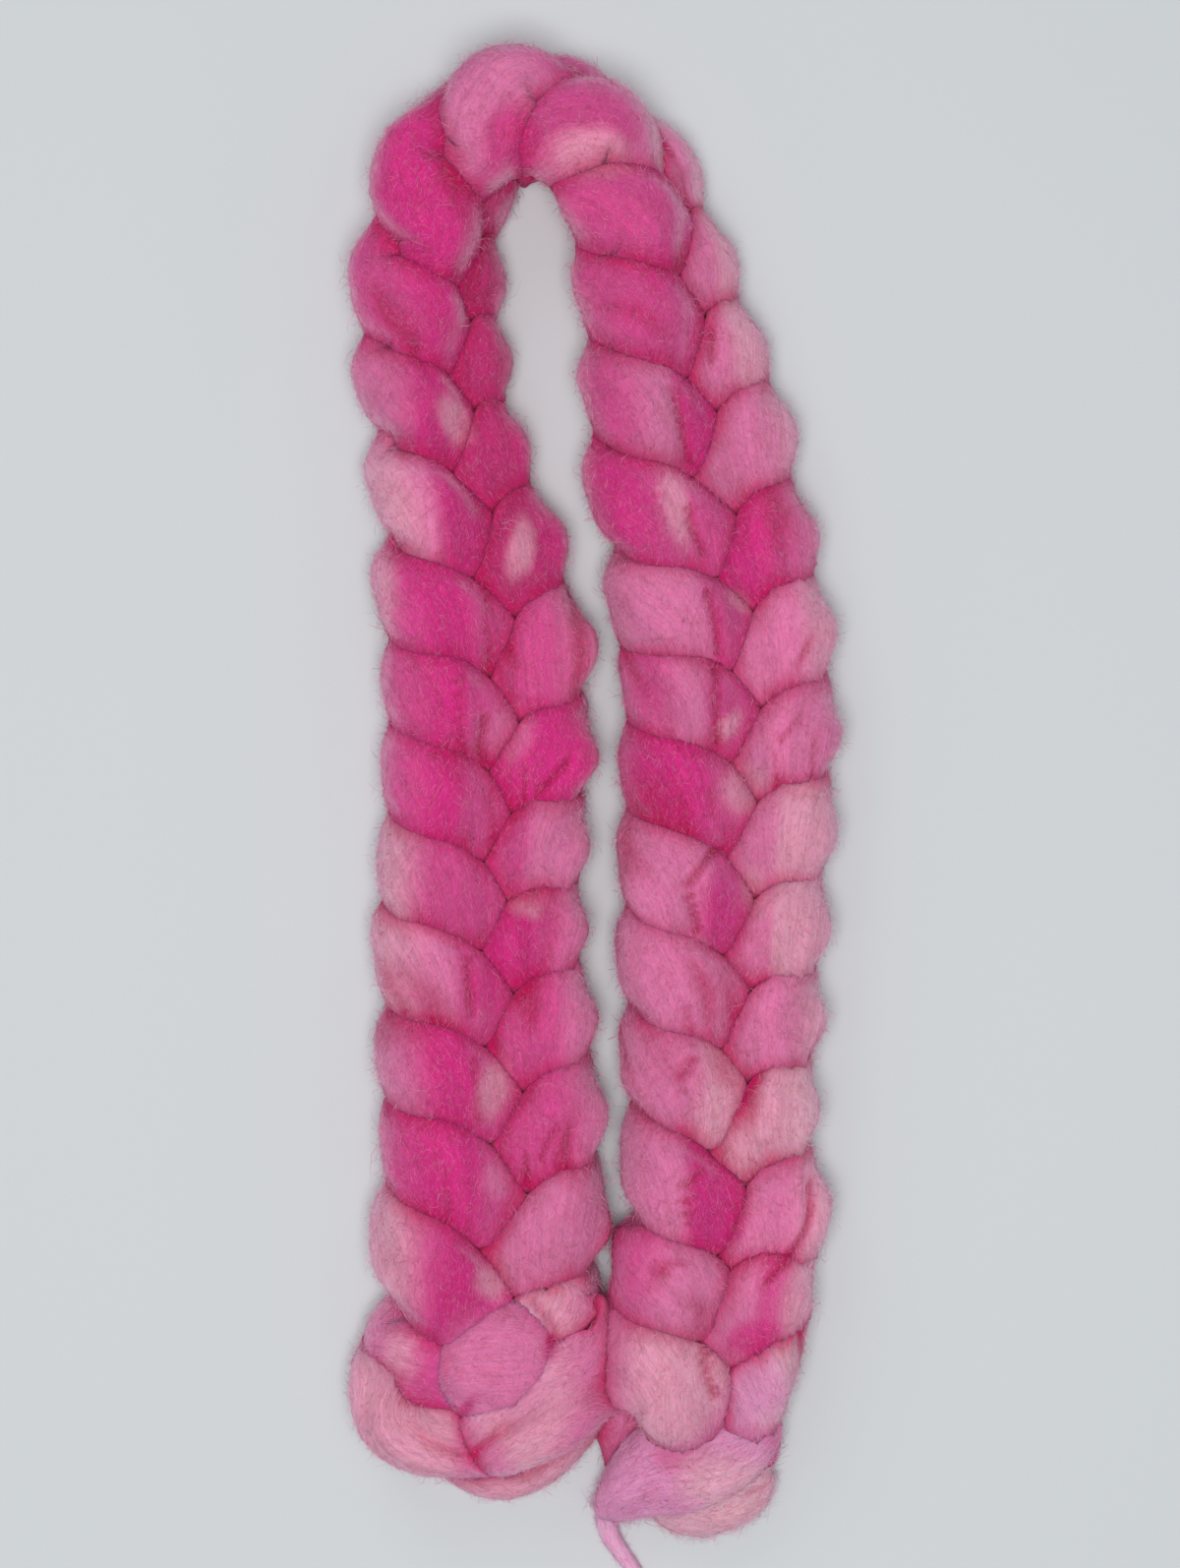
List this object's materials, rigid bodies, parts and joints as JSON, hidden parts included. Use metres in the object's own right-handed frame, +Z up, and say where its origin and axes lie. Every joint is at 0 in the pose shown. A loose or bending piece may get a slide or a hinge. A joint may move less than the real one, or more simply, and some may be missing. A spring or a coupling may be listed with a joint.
{
  "type": "braid of wool roving",
  "caption": "Soft plaited braid of combed pink wool roving, folded in half and lying flat, with rounded turned-back loops at one end and a loose wispy end at the other.",
  "frame": {"origin": "middle of the bounding box of the whole braid, on the surface it lies on", "axes": "+Z up from the surface, +Y along the folded braid towards its bend, +X across both legs"},
  "size_m": [0.1646, 0.5263, 0.0497],
  "materials": {
    "wool": "soft matt combed wool, hand-dyed in uneven patches of deep pink, mid pink and pale salmon, with a halo of loose fibres"
  },
  "bodies": {
    "root": {"braid": "wool", "loose_end": "wool"}
  },
  "joints": []
}
